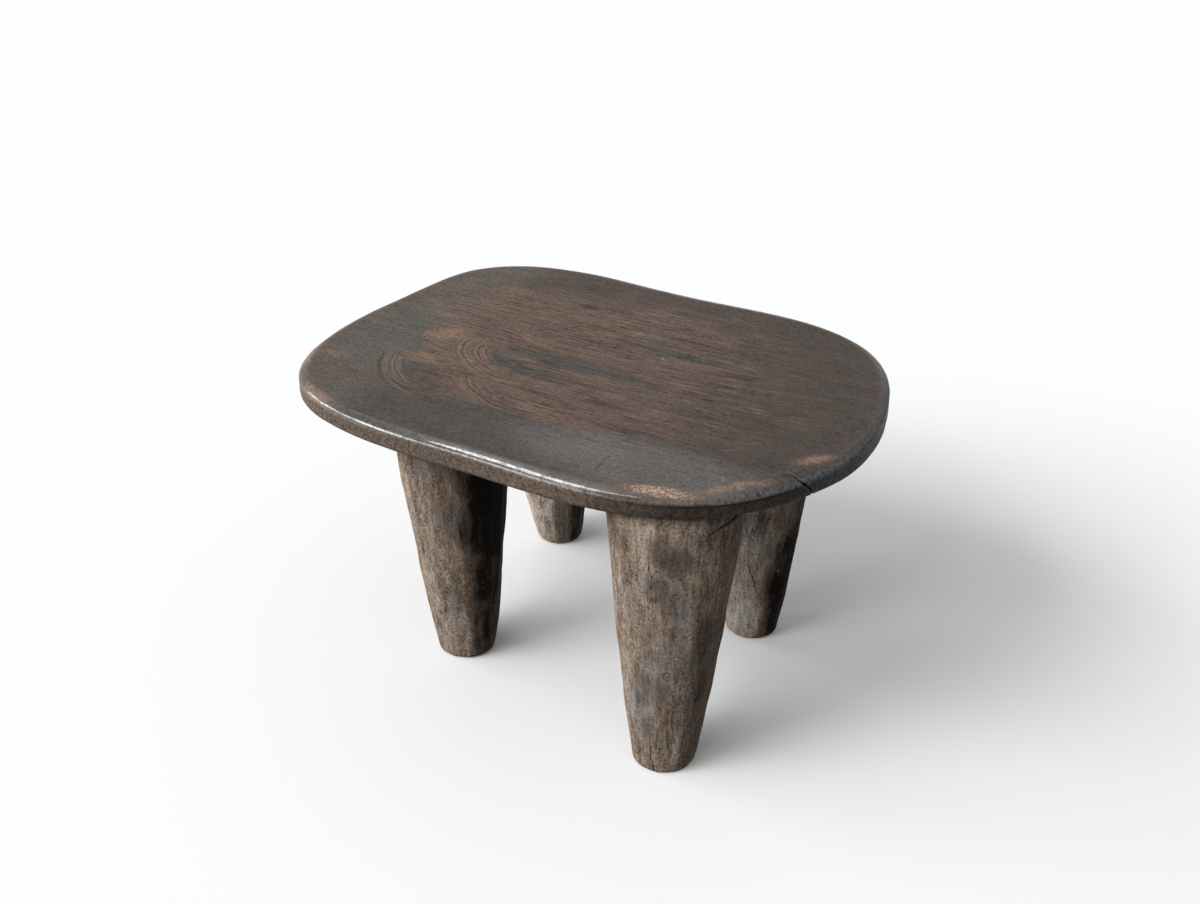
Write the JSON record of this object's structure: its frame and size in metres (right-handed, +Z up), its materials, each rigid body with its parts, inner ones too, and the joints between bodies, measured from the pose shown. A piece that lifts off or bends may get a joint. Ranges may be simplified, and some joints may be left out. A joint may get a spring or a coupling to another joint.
{
  "type": "carved wooden stool",
  "caption": "Low hand-carved wooden stool: a thin rounded-rectangle seat with a shallow dish on thick tapering adze-cut legs, for sitting on.",
  "frame": {"origin": "on the ground, under the middle of the seat's outline", "axes": "+X along the seat's length, towards its rounder end; +Y across the seat, towards the rear; +Z up"},
  "size_m": [0.42, 0.309, 0.2353],
  "materials": {
    "dark_patinated_wood": "satin",
    "weathered_wood": "matte"
  },
  "bodies": {
    "root": {"seat": "dark_patinated_wood", "front_left_leg": "weathered_wood", "front_right_leg": "weathered_wood", "rear_right_leg": "weathered_wood", "rear_left_leg": "weathered_wood"}
  },
  "joints": []
}
